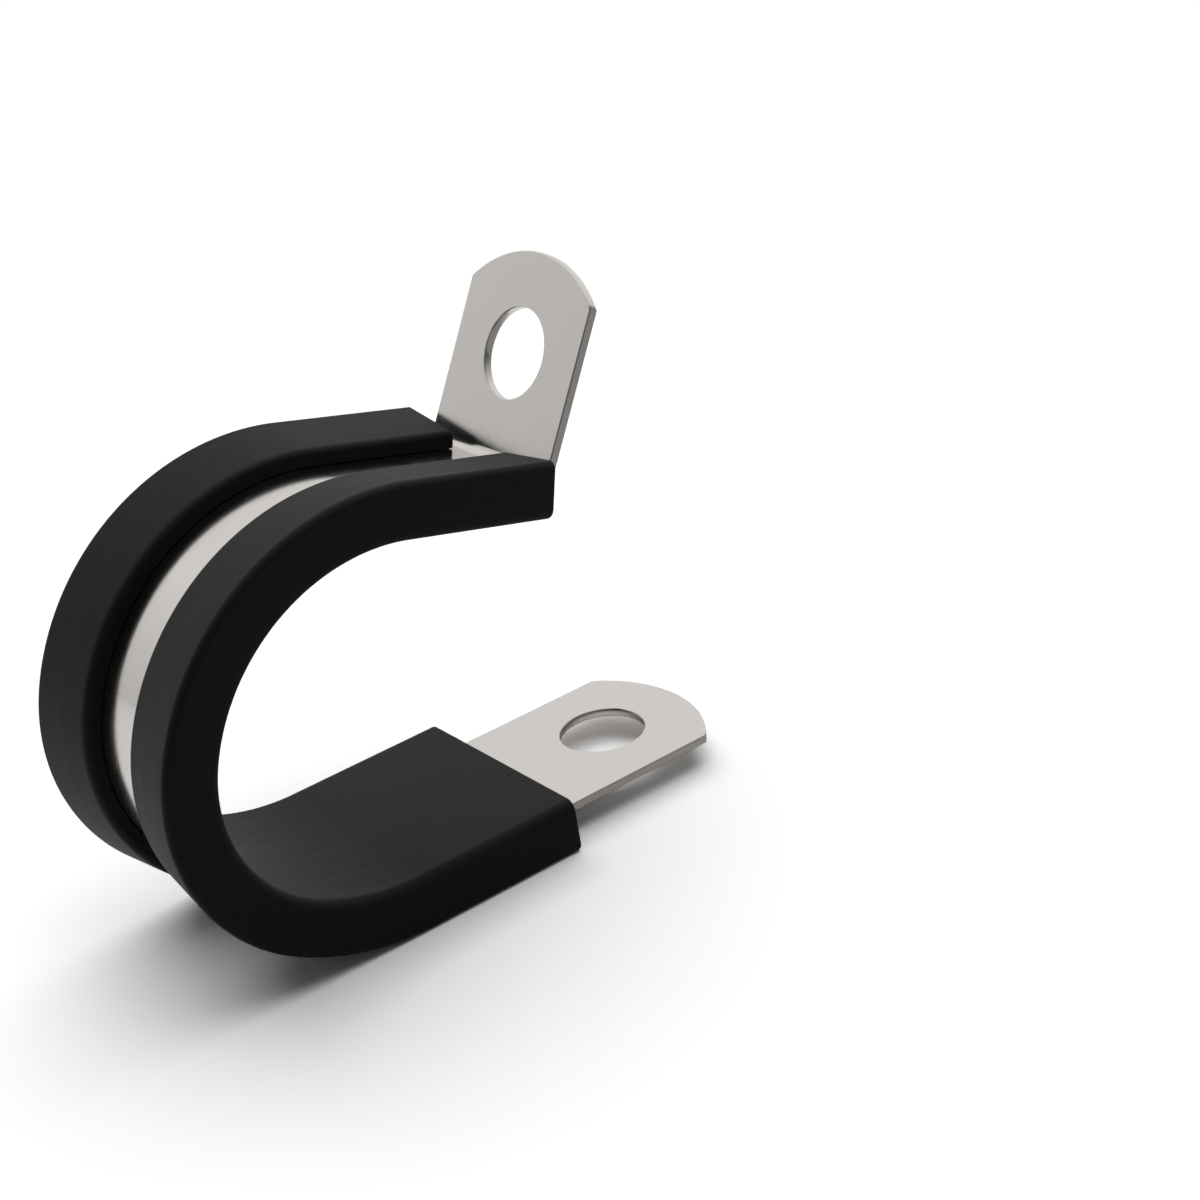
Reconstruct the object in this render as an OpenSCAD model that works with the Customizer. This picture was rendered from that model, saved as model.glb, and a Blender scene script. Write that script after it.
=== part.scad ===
// Rubber-lined P clip, open as supplied: a stainless steel band bent into a loop
// with two drilled tabs, and an extruded rubber channel that sheathes the loop.
// The origin is the axis of the lower fixing hole at the underside of the band.
// +X runs out along the lower tab, +Y along the cable and +Z up.

/* [Cable] */
// Diameter of the cable that the closed clip grips
cable_diameter = 18; // [14:0.5:30]
// Gap between the two ends of the lining once the clip is closed
mouth_gap = 3.75; // [0.5:0.25:6]

/* [Band] */
// Width of the steel band
band_width = 12; // [9:0.5:18]
// Thickness of the steel band
band_thickness = 0.6; // [0.4:0.1:1.2]

/* [Open loop] */
// Straight run of the lining along the lower arm
lower_arm = 11; // [6:0.5:14]
// How much wider than the closed loop the knee is bent, in radius
knee_opening = 5.05; // [0:0.05:8]
// Turn of the knee, from the lower arm to the heel
knee_angle = 28; // [10:1:45]
// How much wider than the closed loop the heel is bent, in radius
heel_opening = 0.15; // [0:0.05:2]
// Turn of the heel, from the knee to the crown
heel_angle = 80; // [60:1:100]
// How much wider than the closed loop the crown is bent, in radius
crown_opening = 3.05; // [0:0.05:6]
// Turn of the crown, from the heel to the upper arm
crown_angle = 86; // [60:1:105]

/* [Tabs] */
// Length of the lower tab, from the lining to its tip
lower_tab = 14.2; // [11:0.1:20]
// Length of the upper tab, from its bend to its tip
upper_tab = 12.1; // [10:0.1:18]
// Angle by which the upper tab is bent back from the upper arm
tab_bend_angle = 75; // [30:1:90]
// Inside radius of that bend
tab_bend_radius = 0.8; // [0.4:0.1:2]
// How far the curved end of a tab stands out past its two corners
tab_end_rise = 2.4; // [0.5:0.1:4]
// Diameter of the fixing holes
hole_diameter = 5.6; // [3:0.1:7]
// Distance from the centre of a fixing hole to the tip of its tab
hole_to_tip = 6.2; // [4.5:0.1:8]

/* [Lining] */
// Thickness of the rubber inside the band, against the cable
lining_wall = 1.3; // [0.6:0.1:2.5]
// Thickness of the rubber beside each edge of the band
side_wall = 1.8; // [1:0.1:3]
// Height of the lips over the band at the sides of the lining
lip_height = 1.6; // [1.1:0.05:2.5]
// Width of the groove between the two lips
groove_width = 5.25; // [2:0.25:7]
// How much lower the lips are beside the groove
lip_fall = 0.5; // [0:0.05:0.5]
// Radius of the edges of the lips
lip_edge_radius = 0.5; // [0.1:0.1:0.6]
// Radius of the edges of the surface against the cable
inner_edge_radius = 0.7; // [0.2:0.1:1.2]
// Clearance of the band in the slot of the lining, on each face
slot_clearance = 0.05; // [0:0.01:0.15]

/* [Hidden] */
$fn = 96;
// Turn of each short length that a bend is drawn with, and steps in a rounded edge.
bend_step = 4;
corner_steps = 3;
// How far a cutting tool reaches past what it cuts.
tool_reach = 1;

// Lengths along the loop and bend radii are measured on the outer face of the band.
closed_radius = cable_diameter / 2 + lining_wall + slot_clearance + band_thickness;
knee_radius = closed_radius + knee_opening;
heel_radius = closed_radius + heel_opening;
crown_radius = closed_radius + crown_opening;

function arc_length(radius, angle) = PI * radius * angle / 180;

// The lining reaches round the closed loop but for the gap at its mouth.
lining_length = 2 * PI * closed_radius - mouth_gap;
bends_length = arc_length(knee_radius, knee_angle)
    + arc_length(heel_radius, heel_angle)
    + arc_length(crown_radius, crown_angle);
upper_arm = lining_length - lower_arm - bends_length;

tab_end_radius = (pow(band_width / 2, 2) + pow(tab_end_rise, 2)) / (2 * tab_end_rise);

slot_width = band_width + 2 * slot_clearance;
slot_top = band_thickness + slot_clearance;
lining_half = slot_width / 2 + side_wall;
lining_top = slot_top + lining_wall;

// A run is [length, 0] where it is straight and [radius, turn] where it is bent,
// both negative where it bends away from the cable.
loop_runs = [
    [lower_arm, 0],
    [knee_radius, knee_angle],
    [heel_radius, heel_angle],
    [crown_radius, crown_angle],
    [upper_arm, 0]
];
band_runs = concat(
    [[lower_tab, 0]],
    loop_runs,
    [[-tab_bend_radius, -tab_bend_angle], [upper_tab, 0]]
);

// A place on the path is [x, z, heading]. Heading 0 runs towards -X and 90 straight up,
// with the inside of the loop on the right.
function along(place, run, share) =
    let (heading = place[2], turned = heading + share * run[1])
    run[1] == 0
        ? [place[0] - share * run[0] * cos(heading), place[1] + share * run[0] * sin(heading), heading]
        : [
            place[0] + run[0] * (sin(heading) - sin(turned)),
            place[1] + run[0] * (cos(heading) - cos(turned)),
            turned
        ];

function pieces_of(run) = max(1, ceil(abs(run[1]) / bend_step));

function path(place, runs, i = 0) =
    i == len(runs)
        ? [place]
        : concat(
            [for (k = [0:pieces_of(runs[i]) - 1]) along(place, runs[i], k / pieces_of(runs[i]))],
            path(along(place, runs[i], 1), runs, i + 1)
        );

// Point at a depth inside the outer face of the band.
function inside(place, depth) =
    [place[0] + depth * sin(place[2]), place[1] + depth * cos(place[2])];

lower_tip = [hole_to_tip, 0, 0];
lining_path = path(along(lower_tip, band_runs[0], 1), loop_runs);
band_path = path(lower_tip, band_runs);
upper_tip = band_path[len(band_path) - 1];

function backwards(list) = [for (i = [len(list) - 1:-1:0]) list[i]];

// Points of a quarter-round corner, clockwise from one angle to 90 degrees less.
function corner(centre, radius, from) =
    [for (turn = [0:90 / corner_steps:90]) centre + radius * [cos(from - turn), sin(from - turn)]];

// Half of the channel's section, from the inner wall round its side and lip and back
// inside the slot. x is across the band and y is the depth inside its outer face.
half_section = concat(
    corner([lining_half - inner_edge_radius, lining_top - inner_edge_radius], inner_edge_radius, 90),
    corner([lining_half - lip_edge_radius, lip_edge_radius - lip_height], lip_edge_radius, 0),
    corner([groove_width / 2 + lip_edge_radius, lip_edge_radius - lip_height + lip_fall], lip_edge_radius, -90),
    [
        [groove_width / 2, -slot_clearance],
        [slot_width / 2, -slot_clearance],
        [slot_width / 2, slot_top]
    ]
);
lining_section = concat(half_section, [for (p = backwards(half_section)) [-p.x, p.y]]);

// Sweeps a closed section along a path, with a flat face at each end.
module sweep(section, places) {
    count = len(section);
    last = len(places) - 1;
    points = [
        for (place = places, p = section)
            let (q = inside(place, p.y)) [q.x, p.x, q.y]
    ];
    sides = [
        for (i = [0:last - 1], j = [0:count - 1])
            let (k = (j + 1) % count)
            [i * count + j, i * count + k, (i + 1) * count + k, (i + 1) * count + j]
    ];
    near_end = [for (j = [count - 1:-1:0]) j];
    far_end = [for (j = [0:count - 1]) last * count + j];
    polyhedron(points, concat(sides, [near_end, far_end]), convexity = 6);
}

// What is cut from the blank end of a tab, with the tip at the origin and the tab along -x:
// the corners outside its curved end, and the fixing hole.
module tab_tool() {
    translate([0, 0, -tool_reach])
        linear_extrude(band_thickness + 2 * tool_reach) {
            difference() {
                translate([-tab_end_rise, -band_width / 2 - tool_reach])
                    square([tab_end_rise + tool_reach, band_width + 2 * tool_reach]);
                translate([-tab_end_radius, 0]) circle(tab_end_radius);
            }
            translate([-hole_to_tip, 0]) circle(d = hole_diameter);
        }
}

module strap()
    color("silver")
        difference() {
            rotate([90, 0, 0])
                linear_extrude(band_width, center = true)
                    polygon(concat(
                        [for (place = band_path) inside(place, 0)],
                        [for (place = backwards(band_path)) inside(place, band_thickness)]
                    ));
            translate([lower_tip[0], 0, lower_tip[1]]) tab_tool();
            translate([upper_tip[0], 0, upper_tip[1]])
                rotate([0, upper_tip[2], 0]) mirror([1, 0, 0]) tab_tool();
        }

module lining()
    color([0.13, 0.13, 0.13]) sweep(lining_section, lining_path);

strap();
lining();
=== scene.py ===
"""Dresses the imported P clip: its bent steel band, its extruded rubber lining and a plain studio.

Run as a script, it bends both pieces from straight blanks round the same loop, in the frame
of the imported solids: metres, with the axis of the lower fixing hole at the origin, +X out
along the lower tab, +Y along the cable and +Z up.
"""

import math

import bmesh
import bpy
from bpy.props import FloatProperty, FloatVectorProperty, PointerProperty
from mathutils import Euler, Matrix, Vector


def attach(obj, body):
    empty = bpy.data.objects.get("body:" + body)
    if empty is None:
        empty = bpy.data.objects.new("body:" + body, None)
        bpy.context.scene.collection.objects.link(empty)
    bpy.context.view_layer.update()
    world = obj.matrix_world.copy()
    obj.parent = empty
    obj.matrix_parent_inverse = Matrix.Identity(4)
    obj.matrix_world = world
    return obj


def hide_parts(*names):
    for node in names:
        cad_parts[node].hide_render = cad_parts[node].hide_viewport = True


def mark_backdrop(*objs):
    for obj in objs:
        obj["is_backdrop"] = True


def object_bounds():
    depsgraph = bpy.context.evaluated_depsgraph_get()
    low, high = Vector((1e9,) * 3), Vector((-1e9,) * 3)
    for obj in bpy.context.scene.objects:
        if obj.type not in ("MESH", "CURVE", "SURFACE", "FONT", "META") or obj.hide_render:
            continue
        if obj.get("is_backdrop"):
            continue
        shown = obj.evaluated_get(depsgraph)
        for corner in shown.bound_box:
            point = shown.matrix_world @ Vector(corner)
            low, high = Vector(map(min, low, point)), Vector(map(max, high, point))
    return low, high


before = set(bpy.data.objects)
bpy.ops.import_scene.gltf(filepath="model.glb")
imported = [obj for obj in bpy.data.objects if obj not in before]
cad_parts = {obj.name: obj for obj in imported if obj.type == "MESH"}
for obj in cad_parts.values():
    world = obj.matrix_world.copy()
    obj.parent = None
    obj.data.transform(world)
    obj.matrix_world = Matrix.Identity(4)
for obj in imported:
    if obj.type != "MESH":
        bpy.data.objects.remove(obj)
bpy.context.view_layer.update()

bl_info = {
    "name": "Rubber-lined P clip",
    "version": (1, 0, 0),
    "blender": (4, 5, 0),
    "location": "3D View > Sidebar > P clip",
    "description": "Bends the steel band and the rubber lining of a P clip and sets its stage",
    "category": "Object",
}

MM = 0.001

# A blank has cross-lines at this spacing where it will be bent, or closer in a tight bend,
# and the loop itself is drawn with short steps.
BLANK_STEP = 0.25 * MM
BEND_STEP = math.radians(5)
LOOP_STEP = 0.05 * MM

# Places along a blank are told apart down to this, in metres, which takes so many digits.
SAME_PLACE = 1e-7
PLACE_DIGITS = 7

# Faces closer in angle than the first make one flat face, band edges sharper than the second
# are punched ones, and rubber edges sharper than the third stay crisp.
FLAT_ANGLE = math.radians(1)
PUNCHED_ANGLE = math.radians(80)
CRISP_ANGLE = math.radians(50)

# Straight pieces that stand for a curve.
CORNER_STEPS = 6
TAB_END_STEPS = 32
HOLE_STEPS = 72

BENDS = ("Knee", "Heel", "Crown", "Tab bend")
WHITE = (1.0, 1.0, 1.0, 1.0)
BLACK = (0.0, 0.0, 0.0, 1.0)

# The camera's lens and sensor are in millimetres, and so is its place. Its turn is in degrees.
CAMERA_LENS = 75.918
CAMERA_SENSOR = 36
CAMERA_PLACE = (-79.9504, -120.8970, 79.2661)
CAMERA_TURN = (64.1352, 8.0964, -37.8509)

# The lamp's place and side are in metres and its power in watts.
LAMP_PLACE = (0.14, 0.20, 1.0)
LAMP_SIZE = 1.5
LAMP_POWER = 9.2

# The floor reaches this far each way, in metres. It keeps the clip's shadow up to the first
# distance and is full white from the second.
FLOOR_REACH = 1.5
FLOOR_FADE = (60 * MM, 140 * MM)

# Where the clip mirrors the floor: how much of it is lost to the painted shade in front of the
# clip, how much brighter the rest is, and the depths between which the painted shade ends.
FLOOR_PAINTED_SHADE = 0.65
FLOOR_MIRRORED_GAIN = 0.5
PAINTED_SHADE_DEPTHS = (-15 * MM, 15 * MM)

# Where the clip mirrors the surround, its strength follows the cosine from the bright side.
BRIGHT_SIDE = Vector((0.45, 0.80, 0.40)).normalized()
MIRRORED_COSINES = (-0.3, 0.75)
MIRRORED_STRENGTHS = (0.12, 0.88)

# How strongly the surround lights the clip.
SURROUND_LIGHT = 0.06


def length(name, description, default):
    """A size in millimetres, kept in metres as Blender does."""
    return FloatProperty(
        name=name, description=description, default=default * MM, unit="LENGTH", precision=5
    )


def angle(name, description, default):
    """An angle in degrees, kept in radians as Blender does."""
    return FloatProperty(
        name=name, description=description, default=math.radians(default), unit="ROTATION"
    )


def linear(code):
    """An sRGB hex colour as the linear RGBA that shaders take."""
    shares = [int(code[i : i + 2], 16) / 255 for i in (1, 3, 5)]
    return [c / 12.92 if c <= 0.04045 else ((c + 0.055) / 1.055) ** 2.4 for c in shares] + [1.0]


def colour(name, description, code):
    return FloatVectorProperty(
        name=name, description=description, default=linear(code), size=4, subtype="COLOR"
    )


class LoopSizes(bpy.types.PropertyGroup):
    """The open loop, measured on the outer face of the band from the tip of the lower tab."""

    lower_tab: length("Lower tab", "From the lower tip to the lining", 14.2)
    hole_to_tip: length("Hole to tip", "From a fixing hole's centre to the tip of its tab", 6.2)
    lining_length: length("Lining length", "Length of the lining round the loop", 65.0509)
    lower_arm: length("Lower arm", "Straight run of the lining along the lower arm", 11.0)
    knee_radius: length("Knee radius", "Radius of the bend next to the lower arm", 16.0)
    knee_turn: angle("Knee turn", "Turn of the bend next to the lower arm", 28)
    heel_radius: length("Heel radius", "Radius of the tight bend at the back", 11.1)
    heel_turn: angle("Heel turn", "Turn of the tight bend at the back", 80)
    crown_radius: length("Crown radius", "Radius of the bend at the top", 14.0)
    crown_turn: angle("Crown turn", "Turn of the bend at the top", 86)
    back_radius: length("Tab bend radius", "Inside radius of the upper tab's bend", 0.8)
    back_turn: angle("Tab bend turn", "Turn of the upper tab, back from the upper arm", 75)
    upper_tab: length("Upper tab", "From its bend to the upper tip", 12.1)


class BandSizes(bpy.types.PropertyGroup):
    """The steel band before it is bent."""

    width: length("Width", "Width of the band", 12.0)
    thickness: length("Thickness", "Thickness of the band", 0.6)
    tab_end_rise: length("Tab end rise", "How far a tab's curved end stands past its corners", 2.4)
    hole_diameter: length("Hole diameter", "Diameter of the fixing holes", 5.6)
    edge_radius: length("Edge radius", "Radius that tumbling gives the punched edges", 0.1)


class LiningSizes(bpy.types.PropertyGroup):
    """The section of the rubber channel."""

    wall: length("Wall", "Thickness of the rubber against the cable", 1.3)
    side_wall: length("Side wall", "Thickness of the rubber beside the band", 1.8)
    lip_height: length("Lip height", "Height of the lips over the band", 1.6)
    lip_fall: length("Lip fall", "How much lower the lips are beside the groove", 0.5)
    lip_edge_radius: length("Lip edge radius", "Radius of the edges of the lips", 0.5)
    groove_width: length("Groove width", "Width of the groove between the lips", 5.25)
    inner_edge_radius: length("Inner edge radius", "Radius of the edges against the cable", 0.7)
    clearance: length("Clearance", "Room for the band in the slot, on each face", 0.05)
    cut_radius: length("Cut radius", "How much the cut ends are softened", 0.12)


class Finishes(bpy.types.PropertyGroup):
    """The colours of the clip and of its stage."""

    steel: colour("Steel", "Stainless steel strip", "#d8d4d0")
    rubber: colour("Rubber", "Black rubber", "#0a0a0b")
    floor: colour("Floor", "Floor of the stage", "#fcfcfc")


def loop_bends(sizes):
    """Where each bend starts and ends along the band, and its turn, negative when bent back."""
    knee_start = sizes.lower_tab + sizes.lower_arm
    knee_end = knee_start + sizes.knee_radius * sizes.knee_turn
    heel_end = knee_end + sizes.heel_radius * sizes.heel_turn
    crown_end = heel_end + sizes.crown_radius * sizes.crown_turn
    back_start = sizes.lower_tab + sizes.lining_length
    back_end = back_start + sizes.back_radius * sizes.back_turn
    return {
        "Knee": (knee_start, knee_end, sizes.knee_turn),
        "Heel": (knee_end, heel_end, sizes.heel_turn),
        "Crown": (heel_end, crown_end, sizes.crown_turn),
        "Tab bend": (back_start, back_end, -sizes.back_turn),
    }


def band_length(sizes):
    return loop_bends(sizes)["Tab bend"][1] + sizes.upper_tab


def cross_lines(sizes, start, end):
    """Distances along a blank, between its ends, at which it needs a cross-line to bend."""
    lines = set()
    for bend_start, bend_end, turn in loop_bends(sizes).values():
        span = bend_end - bend_start
        count = max(math.ceil(span / BLANK_STEP), math.ceil(abs(turn) / BEND_STEP))
        for i in range(count + 1):
            place = bend_start + span * i / count
            if start < place < end:
                lines.add(round(place, PLACE_DIGITS))
    return sorted(lines)


def add_node(tree, kind, settings=None, inputs=None):
    """Adds a node, with its settings, and its inputs given as values or as sockets to link."""
    node = tree.nodes.new(kind)
    for name, value in (settings or {}).items():
        setattr(node, name, value)
    for name, value in (inputs or {}).items():
        if isinstance(value, bpy.types.NodeSocket):
            tree.links.new(value, node.inputs[name])
        else:
            node.inputs[name].default_value = value
    return node


def calculate(tree, operation, *values):
    """The outcome of one sum on plain numbers, as a socket."""
    return add_node(
        tree, "ShaderNodeMath", {"operation": operation}, dict(enumerate(values))
    ).outputs[0]


def map_range(tree, value, given, wanted, settings=None):
    """A value moved from its given range to the wanted one, as a socket."""
    inputs = {
        "Value": value,
        "From Min": given[0],
        "From Max": given[1],
        "To Min": wanted[0],
        "To Max": wanted[1],
    }
    return add_node(tree, "ShaderNodeMapRange", settings, inputs).outputs[0]


def bending_tree():
    """A tree that bends a straight blank round the loop.

    The blank runs along X from the lower tip, with its width along Y and the depth inside the
    band's outer face along Z. The loop is a chain of short steps: the heading of each step is
    the sum of the turns made so far, and the places are the running sum of the steps.
    """
    name = "Bend round the loop"
    if name in bpy.data.node_groups:
        return bpy.data.node_groups[name]
    tree = bpy.data.node_groups.new(name, "GeometryNodeTree")
    sockets = tree.interface
    sockets.new_socket("Blank", in_out="INPUT", socket_type="NodeSocketGeometry")
    sockets.new_socket("Lower tip", in_out="INPUT", socket_type="NodeSocketFloat")
    sockets.new_socket("Step", in_out="INPUT", socket_type="NodeSocketFloat")
    sockets.new_socket("Steps", in_out="INPUT", socket_type="NodeSocketInt")
    for bend in BENDS:
        for part in ("start", "end", "turn"):
            sockets.new_socket(f"{bend} {part}", in_out="INPUT", socket_type="NodeSocketFloat")
    sockets.new_socket("Material", in_out="INPUT", socket_type="NodeSocketMaterial")
    sockets.new_socket("Bent piece", in_out="OUTPUT", socket_type="NodeSocketGeometry")
    given = add_node(tree, "NodeGroupInput").outputs

    index = add_node(tree, "GeometryNodeInputIndex")
    middle = calculate(tree, "ADD", index.outputs[0], 0.5)
    distance = calculate(tree, "MULTIPLY", middle, given["Step"])
    turns = []
    for bend in BENDS:
        span = (given[f"{bend} start"], given[f"{bend} end"])
        turns.append(map_range(tree, distance, span, (0.0, given[f"{bend} turn"])))
    heading = turns[0]
    for turn in turns[1:]:
        heading = calculate(tree, "ADD", heading, turn)
    back = calculate(tree, "MULTIPLY", calculate(tree, "COSINE", heading), -1.0)
    rise = calculate(tree, "SINE", heading)
    direction = add_node(tree, "ShaderNodeCombineXYZ", inputs={"X": back, "Z": rise})
    step = add_node(
        tree,
        "ShaderNodeVectorMath",
        {"operation": "SCALE"},
        {0: direction.outputs[0], "Scale": given["Step"]},
    )
    walked = add_node(
        tree,
        "GeometryNodeAccumulateField",
        {"data_type": "FLOAT_VECTOR"},
        {"Value": step.outputs[0]},
    )
    tip = add_node(tree, "ShaderNodeCombineXYZ", inputs={"X": given["Lower tip"]})
    chain = add_node(
        tree,
        "GeometryNodeMeshLine",
        {"mode": "OFFSET"},
        {"Count": given["Steps"], "Start Location": tip.outputs[0], "Offset": (0.0, 0.0, 0.0)},
    )
    laid = add_node(
        tree,
        "GeometryNodeSetPosition",
        inputs={"Geometry": chain.outputs[0], "Offset": walked.outputs["Trailing"]},
    )
    loop = add_node(tree, "GeometryNodeMeshToCurve", inputs={"Mesh": laid.outputs[0]})

    place = add_node(tree, "GeometryNodeInputPosition")
    across = add_node(tree, "ShaderNodeSeparateXYZ", inputs={0: place.outputs[0]})
    sample = add_node(
        tree,
        "GeometryNodeSampleCurve",
        {"mode": "LENGTH", "use_all_curves": True},
        {"Curves": loop.outputs[0], "Length": across.outputs["X"]},
    )
    inward = add_node(
        tree,
        "ShaderNodeVectorMath",
        {"operation": "CROSS_PRODUCT"},
        {0: (0.0, 1.0, 0.0), 1: sample.outputs["Tangent"]},
    )
    deeper = add_node(
        tree,
        "ShaderNodeVectorMath",
        {"operation": "SCALE"},
        {0: inward.outputs[0], "Scale": across.outputs["Z"]},
    )
    sideways = add_node(tree, "ShaderNodeCombineXYZ", inputs={"Y": across.outputs["Y"]})
    aside = add_node(
        tree,
        "ShaderNodeVectorMath",
        {"operation": "ADD"},
        {0: deeper.outputs[0], 1: sideways.outputs[0]},
    )
    bent = add_node(
        tree,
        "GeometryNodeSetPosition",
        inputs={
            "Geometry": given["Blank"],
            "Position": sample.outputs["Position"],
            "Offset": aside.outputs[0],
        },
    )
    # The loop starts out against X, which turns the blank inside out.
    outward = add_node(tree, "GeometryNodeFlipFaces", inputs={"Mesh": bent.outputs[0]})
    whole = add_node(tree, "GeometryNodeRealizeInstances", inputs={0: outward.outputs[0]})
    dressed = add_node(
        tree,
        "GeometryNodeSetMaterial",
        inputs={"Geometry": whole.outputs[0], "Material": given["Material"]},
    )
    add_node(tree, "NodeGroupOutput", inputs={"Bent piece": dressed.outputs[0]})
    return tree


def bend_blank(name, blank, sizes, material):
    """The named piece: a straight blank bent round the loop, as a plain mesh."""
    steps = math.ceil(band_length(sizes) / LOOP_STEP)
    values = {
        "Lower tip": sizes.hole_to_tip,
        "Step": band_length(sizes) / steps,
        "Steps": steps + 1,
        "Material": material,
    }
    for bend, (start, end, turn) in loop_bends(sizes).items():
        values |= {f"{bend} start": start, f"{bend} end": end, f"{bend} turn": turn}
    piece = bpy.data.objects.new(name, blank)
    bpy.context.scene.collection.objects.link(piece)
    bending = piece.modifiers.new("Bend", "NODES")
    bending.node_group = bending_tree()
    for socket in bending.node_group.interface.items_tree:
        if socket.in_out == "INPUT" and socket.name in values:
            bending[socket.identifier] = values[socket.name]
    normals = piece.modifiers.new("Flat faces stay flat", "WEIGHTED_NORMAL")
    normals.keep_sharp = True
    evaluated = piece.evaluated_get(bpy.context.evaluated_depsgraph_get())
    mesh = bpy.data.meshes.new_from_object(evaluated)
    mesh.name = name
    piece.modifiers.clear()
    piece.data = mesh
    bpy.data.meshes.remove(blank)
    return piece


def outline_of_band(sizes, band):
    """Corner points of the flat band, anticlockwise, with its two curved ends."""
    half = band.width / 2
    rise = band.tab_end_rise
    radius = (half**2 + rise**2) / (2 * rise)
    spread = math.asin(half / radius)
    swing = [spread - 2 * spread * i / TAB_END_STEPS for i in range(TAB_END_STEPS + 1)]
    near = [(radius - radius * math.cos(a), radius * math.sin(a)) for a in swing]
    full = band_length(sizes)
    return near + [(full - x, -y) for x, y in near]


def hole_outline(centre, radius):
    turns = [2 * math.pi * i / HOLE_STEPS for i in range(HOLE_STEPS)]
    return [(centre + radius * math.cos(a), radius * math.sin(a)) for a in turns]


def cut_across(mesh, lines):
    """Cuts a cross-line into a straight blank at each distance along it."""
    for place in lines:
        bmesh.ops.bisect_plane(
            mesh,
            geom=mesh.verts[:] + mesh.edges[:] + mesh.faces[:],
            dist=SAME_PLACE,
            plane_co=(place, 0, 0),
            plane_no=(1, 0, 0),
        )


def round_edges(mesh, edges, radius, segments):
    bmesh.ops.bevel(
        mesh,
        geom=edges,
        offset=radius,
        segments=segments,
        profile=0.5,
        affect="EDGES",
        clamp_overlap=True,
    )


def plain_mesh(name, blank):
    """A blank's mesh, smooth throughout."""
    for face in blank.faces:
        face.smooth = True
    mesh = bpy.data.meshes.new(name)
    blank.to_mesh(mesh)
    blank.free()
    return mesh


def band_blank(sizes, band):
    """The punched band, flat, with tumbled edges and its own flat UV map in millimetres."""
    blank = bmesh.new()
    holes = (sizes.hole_to_tip, band_length(sizes) - sizes.hole_to_tip)
    rims = [outline_of_band(sizes, band)]
    rims += [hole_outline(centre, band.hole_diameter / 2) for centre in holes]
    edges = []
    for rim in rims:
        verts = [blank.verts.new((x, y, 0)) for x, y in rim]
        edges += [blank.edges.new((a, b)) for a, b in zip(verts, verts[1:] + verts[:1])]
    filled = bmesh.ops.triangle_fill(blank, use_beauty=True, edges=edges)
    faces = [f for f in filled["geom"] if isinstance(f, bmesh.types.BMFace)]
    raised = bmesh.ops.extrude_face_region(blank, geom=faces, use_keep_orig=True)
    for item in raised["geom"]:
        if isinstance(item, bmesh.types.BMVert):
            item.co.z += band.thickness
    bmesh.ops.recalc_face_normals(blank, faces=blank.faces[:])
    # The fill's triangles are joined into wide faces, so that the flat tabs shade evenly.
    bmesh.ops.dissolve_limit(blank, angle_limit=FLAT_ANGLE, verts=[], edges=blank.edges[:])
    punched = [e for e in blank.edges if e.calc_face_angle(0) > PUNCHED_ANGLE]
    round_edges(blank, punched, band.edge_radius, segments=3)
    cut_across(blank, cross_lines(sizes, 0, band_length(sizes)))
    flat = blank.loops.layers.uv.new("Blank")
    for face in blank.faces:
        for loop in face.loops:
            loop[flat].uv = (loop.vert.co.x / MM, loop.vert.co.y / MM)
    return plain_mesh("Band blank", blank)


def rounded(centre_y, centre_z, radius, start):
    """Points of a quarter-round corner, from one angle in degrees to 90 degrees less."""
    turns = [math.radians(start - 90 * i / CORNER_STEPS) for i in range(CORNER_STEPS + 1)]
    return [(centre_y + radius * math.cos(a), centre_z + radius * math.sin(a)) for a in turns]


def lining_section(band, lining):
    """The channel's closed section: distance across and depth inside the band's outer face."""
    slot_half = band.width / 2 + lining.clearance
    slot_top = band.thickness + lining.clearance
    half = slot_half + lining.side_wall
    top = slot_top + lining.wall
    inner, lip = lining.inner_edge_radius, lining.lip_edge_radius
    side = rounded(half - inner, top - inner, inner, 90)
    side += rounded(half - lip, lip - lining.lip_height, lip, 0)
    side += rounded(
        lining.groove_width / 2 + lip, lip - lining.lip_height + lining.lip_fall, lip, -90
    )
    side += [
        (lining.groove_width / 2, -lining.clearance),
        (slot_half, -lining.clearance),
        (slot_half, slot_top),
    ]
    return side + [(-y, z) for y, z in reversed(side)]


def lining_blank(sizes, band, lining):
    """The rubber channel, straight, with its ends cut square."""
    start = sizes.lower_tab
    end = start + sizes.lining_length
    section = lining_section(band, lining)
    places = [start] + cross_lines(sizes, start, end) + [end]
    walked = [0.0]
    for a, b in zip(section, section[1:] + section[:1]):
        walked.append(walked[-1] + math.dist(a, b))

    blank = bmesh.new()
    around = blank.loops.layers.uv.new("Blank")
    rings = [[blank.verts.new((x, y, z)) for y, z in section] for x in places]
    count = len(section)
    for i in range(len(places) - 1):
        for j in range(count):
            k = (j + 1) % count
            face = blank.faces.new((rings[i][j], rings[i][k], rings[i + 1][k], rings[i + 1][j]))
            spots = ((i, j), (i, j + 1), (i + 1, j + 1), (i + 1, j))
            for loop, (along, turn) in zip(face.loops, spots):
                loop[around].uv = (places[along] / MM, walked[turn] / MM)
    ends = [blank.faces.new(rings[0]), blank.faces.new(rings[-1])]
    bmesh.ops.recalc_face_normals(blank, faces=blank.faces[:])
    cut_edges = [e for face in ends for e in face.edges]
    round_edges(blank, cut_edges, lining.cut_radius, segments=2)
    mesh = plain_mesh("Lining blank", blank)
    mesh.set_sharp_from_angle(angle=CRISP_ANGLE)
    return mesh


def fresh_material(name):
    """An empty material with its output node, and its tree."""
    material = bpy.data.materials.new(name)
    material.use_nodes = True
    tree = material.node_tree
    tree.nodes.clear()
    return material, tree


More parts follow.
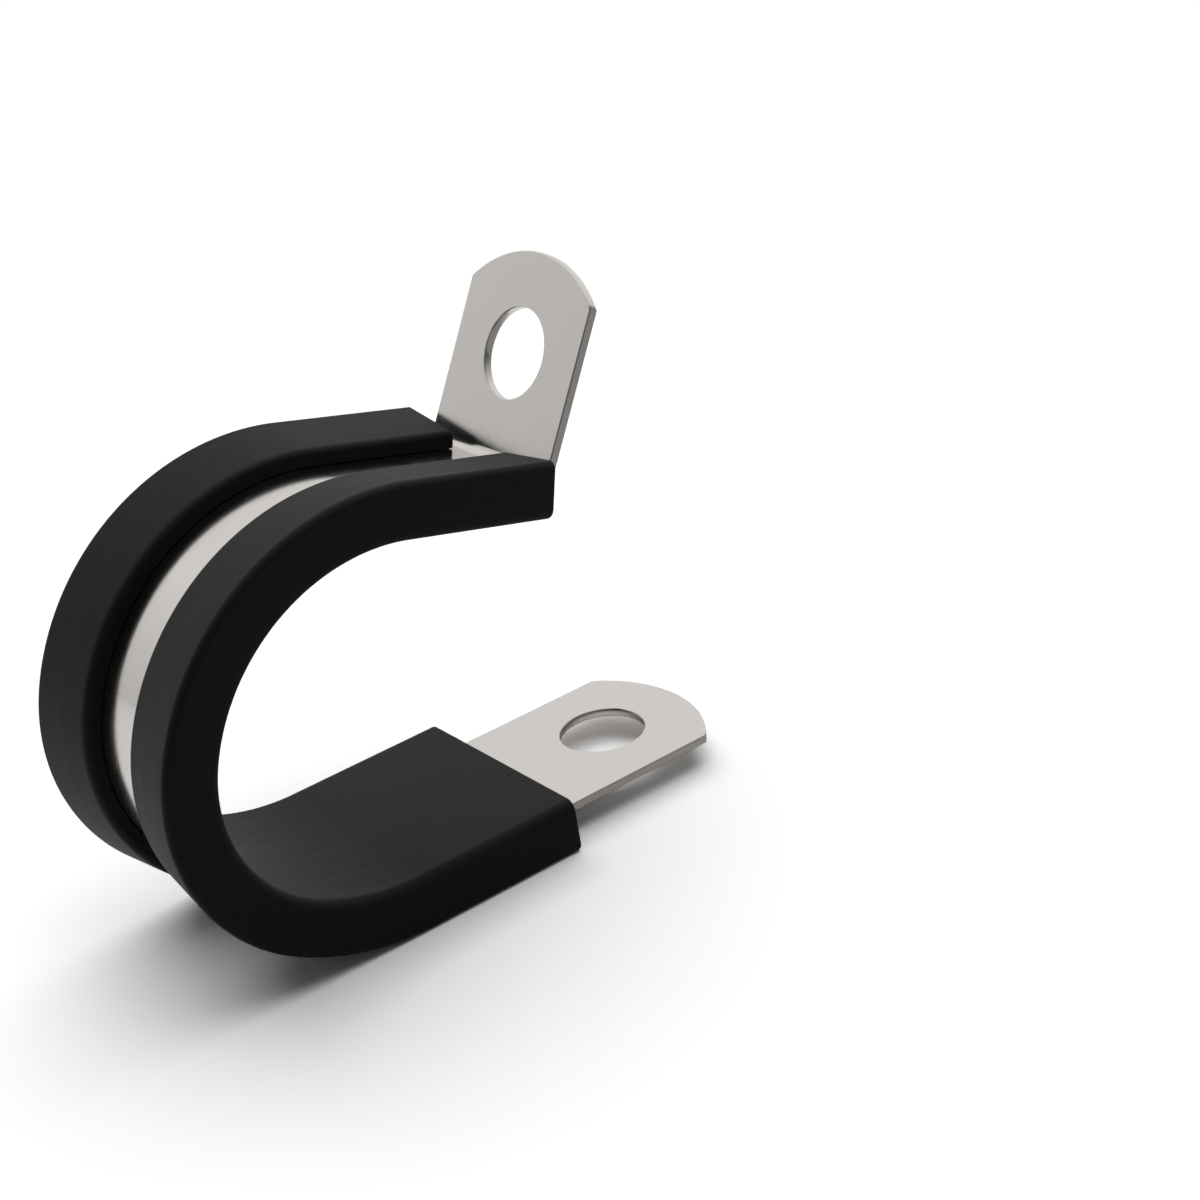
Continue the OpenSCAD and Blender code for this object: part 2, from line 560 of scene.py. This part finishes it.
def flat_noise(tree, place, scale, detail, roughness):
    """Noise over a blank's flat map, as a socket."""
    noise = add_node(
        tree,
        "ShaderNodeTexNoise",
        {"noise_dimensions": "2D"},
        {"Vector": place, "Scale": scale, "Detail": detail, "Roughness": roughness},
    )
    return noise.outputs["Fac"]


def drawn_lines(tree, blank_map, scale, roughness):
    """Long, fine lines along a blank, as a socket: scale is in lines per millimetre."""
    stretched = add_node(
        tree, "ShaderNodeMapping", inputs={"Vector": blank_map.outputs[0], "Scale": (*scale, 1.0)}
    )
    return flat_noise(tree, stretched.outputs[0], scale=1.0, detail=3.0, roughness=roughness)


def brushed_stainless(finishes):
    """Stainless 304 strip, cold rolled and brushed along its length.

    The brush leaves hair-fine lines, so highlights spread across the band and stay
    narrow along it.
    """
    material, tree = fresh_material("Brushed stainless 304")
    flat = add_node(tree, "ShaderNodeUVMap", {"uv_map": "Blank"})
    # Brush lines are about 0.03 mm apart; they are drawn 0.12 mm apart to show.
    lines = drawn_lines(tree, flat, scale=(0.12, 8.0), roughness=0.6)
    # The rolled strip's haze wanders over a few millimetres.
    haze = flat_noise(tree, flat.outputs[0], scale=0.3, detail=2.0, roughness=0.5)
    both = calculate(tree, "ADD", lines, haze)
    roughness = map_range(tree, both, (0.6, 1.4), (0.12, 0.20))
    bump = add_node(
        tree,
        "ShaderNodeBump",
        inputs={"Height": lines, "Strength": 0.08, "Distance": 0.02 * MM},
    )
    tangent = add_node(
        tree, "ShaderNodeTangent", {"direction_type": "UV_MAP", "uv_map": "Blank"}
    )
    shader = add_node(
        tree,
        "ShaderNodeBsdfPrincipled",
        inputs={
            "Base Color": finishes.steel,
            "Metallic": 1.0,
            "Roughness": roughness,
            "Anisotropic": 0.4,
            "Normal": bump.outputs[0],
            "Tangent": tangent.outputs[0],
        },
    )
    add_node(tree, "ShaderNodeOutputMaterial", inputs={"Surface": shader.outputs[0]})
    return material


def extruded_rubber(finishes):
    """Black EPDM rubber, extruded.

    The die leaves faint lines along the channel and a satin skin with a fine grain.
    """
    material, tree = fresh_material("Extruded EPDM rubber")
    around = add_node(tree, "ShaderNodeUVMap", {"uv_map": "Blank"})
    # Die lines are about 0.1 mm apart; they are drawn 0.3 mm apart to show.
    lines = drawn_lines(tree, around, scale=(0.05, 3.3), roughness=0.55)
    # The skin's grain is about 0.15 mm across.
    coordinates = add_node(tree, "ShaderNodeTexCoord")
    grain = add_node(
        tree,
        "ShaderNodeTexNoise",
        inputs={"Vector": coordinates.outputs["Object"], "Scale": 1 / (0.15 * MM), "Detail": 2.0},
    )
    relief = calculate(tree, "MULTIPLY_ADD", lines, 0.3, grain.outputs["Fac"])
    roughness = map_range(tree, lines, (0.3, 0.7), (0.58, 0.63))
    bump = add_node(
        tree, "ShaderNodeBump", inputs={"Height": relief, "Strength": 0.1, "Distance": 0.03 * MM}
    )
    shader = add_node(
        tree,
        "ShaderNodeBsdfPrincipled",
        inputs={
            "Base Color": finishes.rubber,
            "Roughness": roughness,
            "IOR": 1.5,
            "Specular IOR Level": 0.3,
            "Normal": bump.outputs[0],
        },
    )
    add_node(tree, "ShaderNodeOutputMaterial", inputs={"Surface": shader.outputs[0]})
    return material


class PCLIP_OT_band(bpy.types.Operator):
    """Punch the steel band flat and bend it into the open loop"""

    bl_idname = "pclip.band"
    bl_label = "Steel band"

    def execute(self, context):
        scene = context.scene
        material = brushed_stainless(scene.pclip_finishes)
        blank = band_blank(scene.pclip_loop, scene.pclip_band)
        band = bend_blank("steel_band", blank, scene.pclip_loop, material)
        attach(band, "root")
        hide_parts("strap")
        return {"FINISHED"}


class PCLIP_OT_lining(bpy.types.Operator):
    """Extrude the rubber channel and bend it round the loop with the band in its slot"""

    bl_idname = "pclip.lining"
    bl_label = "Rubber lining"

    def execute(self, context):
        scene = context.scene
        material = extruded_rubber(scene.pclip_finishes)
        blank = lining_blank(scene.pclip_loop, scene.pclip_band, scene.pclip_lining)
        lining = bend_blank("rubber_lining", blank, scene.pclip_loop, material)
        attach(lining, "root")
        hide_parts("lining")
        return {"FINISHED"}


def studio_floor(finishes, height):
    """A wide white floor that keeps the clip's shadow."""
    sides = ((-1, -1), (1, -1), (1, 1), (-1, 1))
    corners = [(x * FLOOR_REACH, y * FLOOR_REACH, height) for x, y in sides]
    mesh = bpy.data.meshes.new("Studio floor")
    mesh.from_pydata(corners, [], [(0, 1, 2, 3)])
    material, tree = fresh_material("Matt white paper")
    # In reflections the paper is white behind the clip, and in front of it, where no lamp stands,
    # a painted shade darkens it by mixing in black paper.
    place = add_node(tree, "ShaderNodeTexCoord")
    depth = add_node(tree, "ShaderNodeSeparateXYZ", inputs={0: place.outputs["Object"]})
    smooth = {"interpolation_type": "SMOOTHSTEP"}
    painted_shade = map_range(tree, depth.outputs["Y"], PAINTED_SHADE_DEPTHS, (FLOOR_PAINTED_SHADE, 0.0), smooth)
    path = add_node(tree, "ShaderNodeLightPath")
    reflected = calculate(tree, "MULTIPLY", path.outputs["Is Glossy Ray"], painted_shade)
    # Against the light that the paper throws on the clip, it is twice as bright where it is
    # seen, and one and a half times as bright where the clip mirrors it.
    mirrored = calculate(
        tree, "MULTIPLY_ADD", path.outputs["Is Glossy Ray"], FLOOR_MIRRORED_GAIN, 1.0
    )
    exposure = calculate(tree, "ADD", path.outputs["Is Camera Ray"], mirrored)
    white = add_node(
        tree,
        "ShaderNodeVectorMath",
        {"operation": "SCALE"},
        {0: finishes.floor[:3], "Scale": exposure},
    )
    paper = add_node(tree, "ShaderNodeBsdfDiffuse", inputs={"Color": white.outputs[0]})
    # Black paper, mixed in for the painted shade in reflections.
    painted_shade_paper = add_node(tree, "ShaderNodeBsdfDiffuse", inputs={"Color": BLACK})
    both = add_node(
        tree,
        "ShaderNodeMixShader",
        inputs={0: reflected, 1: paper.outputs[0], 2: painted_shade_paper.outputs[0]},
    )
    # Where it is seen, the paper rises to full white away from the clip and its shadow.
    away = add_node(
        tree, "ShaderNodeVectorMath", {"operation": "LENGTH"}, {0: place.outputs["Object"]}
    )
    rising = map_range(tree, away.outputs["Value"], FLOOR_FADE, (0.0, 1.0), smooth)
    seen = calculate(tree, "MULTIPLY", path.outputs["Is Camera Ray"], rising)
    full_white = add_node(tree, "ShaderNodeEmission", inputs={"Color": WHITE})
    backdrop = add_node(
        tree,
        "ShaderNodeMixShader",
        inputs={0: seen, 1: both.outputs[0], 2: full_white.outputs[0]},
    )
    add_node(tree, "ShaderNodeOutputMaterial", inputs={"Surface": backdrop.outputs[0]})
    mesh.materials.append(material)
    floor = bpy.data.objects.new("studio_floor", mesh)
    bpy.context.scene.collection.objects.link(floor)
    return floor


def softbox(name, place, target, size, power):
    """A square lamp that faces a point."""
    lamp = bpy.data.lights.new(name, "AREA")
    lamp.shape = "SQUARE"
    lamp.size = size
    lamp.energy = power
    box = bpy.data.objects.new(name, lamp)
    # Bare steel mirrors the surround and not the lamp, so that it doesn't burn out.
    box.visible_glossy = False
    box.location = place
    box.rotation_euler = (Vector(target) - Vector(place)).to_track_quat("-Z", "Y").to_euler()
    bpy.context.scene.collection.objects.link(box)
    return box


def studio_world(scene):
    """A surround that is full white where it is seen and dim where it lights.

    Where the clip mirrors it, it goes from dark in front to bright behind the clip.
    """
    world = bpy.data.worlds.new("Studio surround")
    world.use_nodes = True
    tree = world.node_tree
    tree.nodes.clear()
    path = add_node(tree, "ShaderNodeLightPath")
    direction = add_node(tree, "ShaderNodeTexCoord")
    facing = add_node(
        tree,
        "ShaderNodeVectorMath",
        {"operation": "DOT_PRODUCT"},
        {0: direction.outputs["Generated"], 1: BRIGHT_SIDE},
    )
    reflected = map_range(tree, facing.outputs["Value"], MIRRORED_COSINES, MIRRORED_STRENGTHS)
    lit = map_range(tree, path.outputs["Is Camera Ray"], (0.0, 1.0), (SURROUND_LIGHT, 1.0))
    strength = add_node(
        tree,
        "ShaderNodeMix",
        {"data_type": "FLOAT"},
        {0: path.outputs["Is Glossy Ray"], 2: lit, 3: reflected},
    )
    surround = add_node(
        tree,
        "ShaderNodeBackground",
        inputs={"Color": WHITE, "Strength": strength.outputs[0]},
    )
    add_node(tree, "ShaderNodeOutputWorld", inputs={"Surface": surround.outputs[0]})
    scene.world = world


class PCLIP_OT_stage(bpy.types.Operator):
    """Set the floor, the lamp, the surround and the camera"""

    bl_idname = "pclip.stage"
    bl_label = "Stage"

    def execute(self, context):
        scene = context.scene
        low, high = (Vector(corner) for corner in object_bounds())
        middle = (low + high) / 2
        studio = [
            studio_floor(scene.pclip_finishes, low.z),
            softbox("top_softbox", LAMP_PLACE, middle, LAMP_SIZE, LAMP_POWER),
        ]
        lens = bpy.data.cameras.new("Camera")
        lens.lens = CAMERA_LENS
        lens.sensor_width = CAMERA_SENSOR
        camera = bpy.data.objects.new("camera", lens)
        camera.location = Vector(CAMERA_PLACE) * MM
        camera.rotation_euler = Euler([math.radians(a) for a in CAMERA_TURN])
        scene.collection.objects.link(camera)
        scene.camera = camera
        scene.view_settings.view_transform = "Standard"
        studio_world(scene)
        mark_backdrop(*studio)
        return {"FINISHED"}


class PCLIP_PT_sidebar(bpy.types.Panel):
    """The P clip's sizes, finishes and steps"""

    bl_label = "P clip"
    bl_idname = "PCLIP_PT_sidebar"
    bl_space_type = "VIEW_3D"
    bl_region_type = "UI"
    bl_category = "P clip"

    def draw(self, context):
        for key in GROUPS:
            group = getattr(context.scene, key)
            box = self.layout.box()
            for name in group.__annotations__:
                box.prop(group, name)
        for step in STEPS:
            self.layout.operator(step.bl_idname)


GROUPS = {
    "pclip_loop": LoopSizes,
    "pclip_band": BandSizes,
    "pclip_lining": LiningSizes,
    "pclip_finishes": Finishes,
}
STEPS = (PCLIP_OT_band, PCLIP_OT_lining, PCLIP_OT_stage)
CLASSES = (*GROUPS.values(), *STEPS, PCLIP_PT_sidebar)


def register():
    for cls in CLASSES:
        bpy.utils.register_class(cls)
    for name, group in GROUPS.items():
        setattr(bpy.types.Scene, name, PointerProperty(type=group))


def unregister():
    for name in GROUPS:
        delattr(bpy.types.Scene, name)
    for cls in reversed(CLASSES):
        bpy.utils.unregister_class(cls)


def main():
    register()
    bpy.ops.pclip.band()
    bpy.ops.pclip.lining()
    bpy.ops.pclip.stage()


if __name__ == "__main__":
    main()
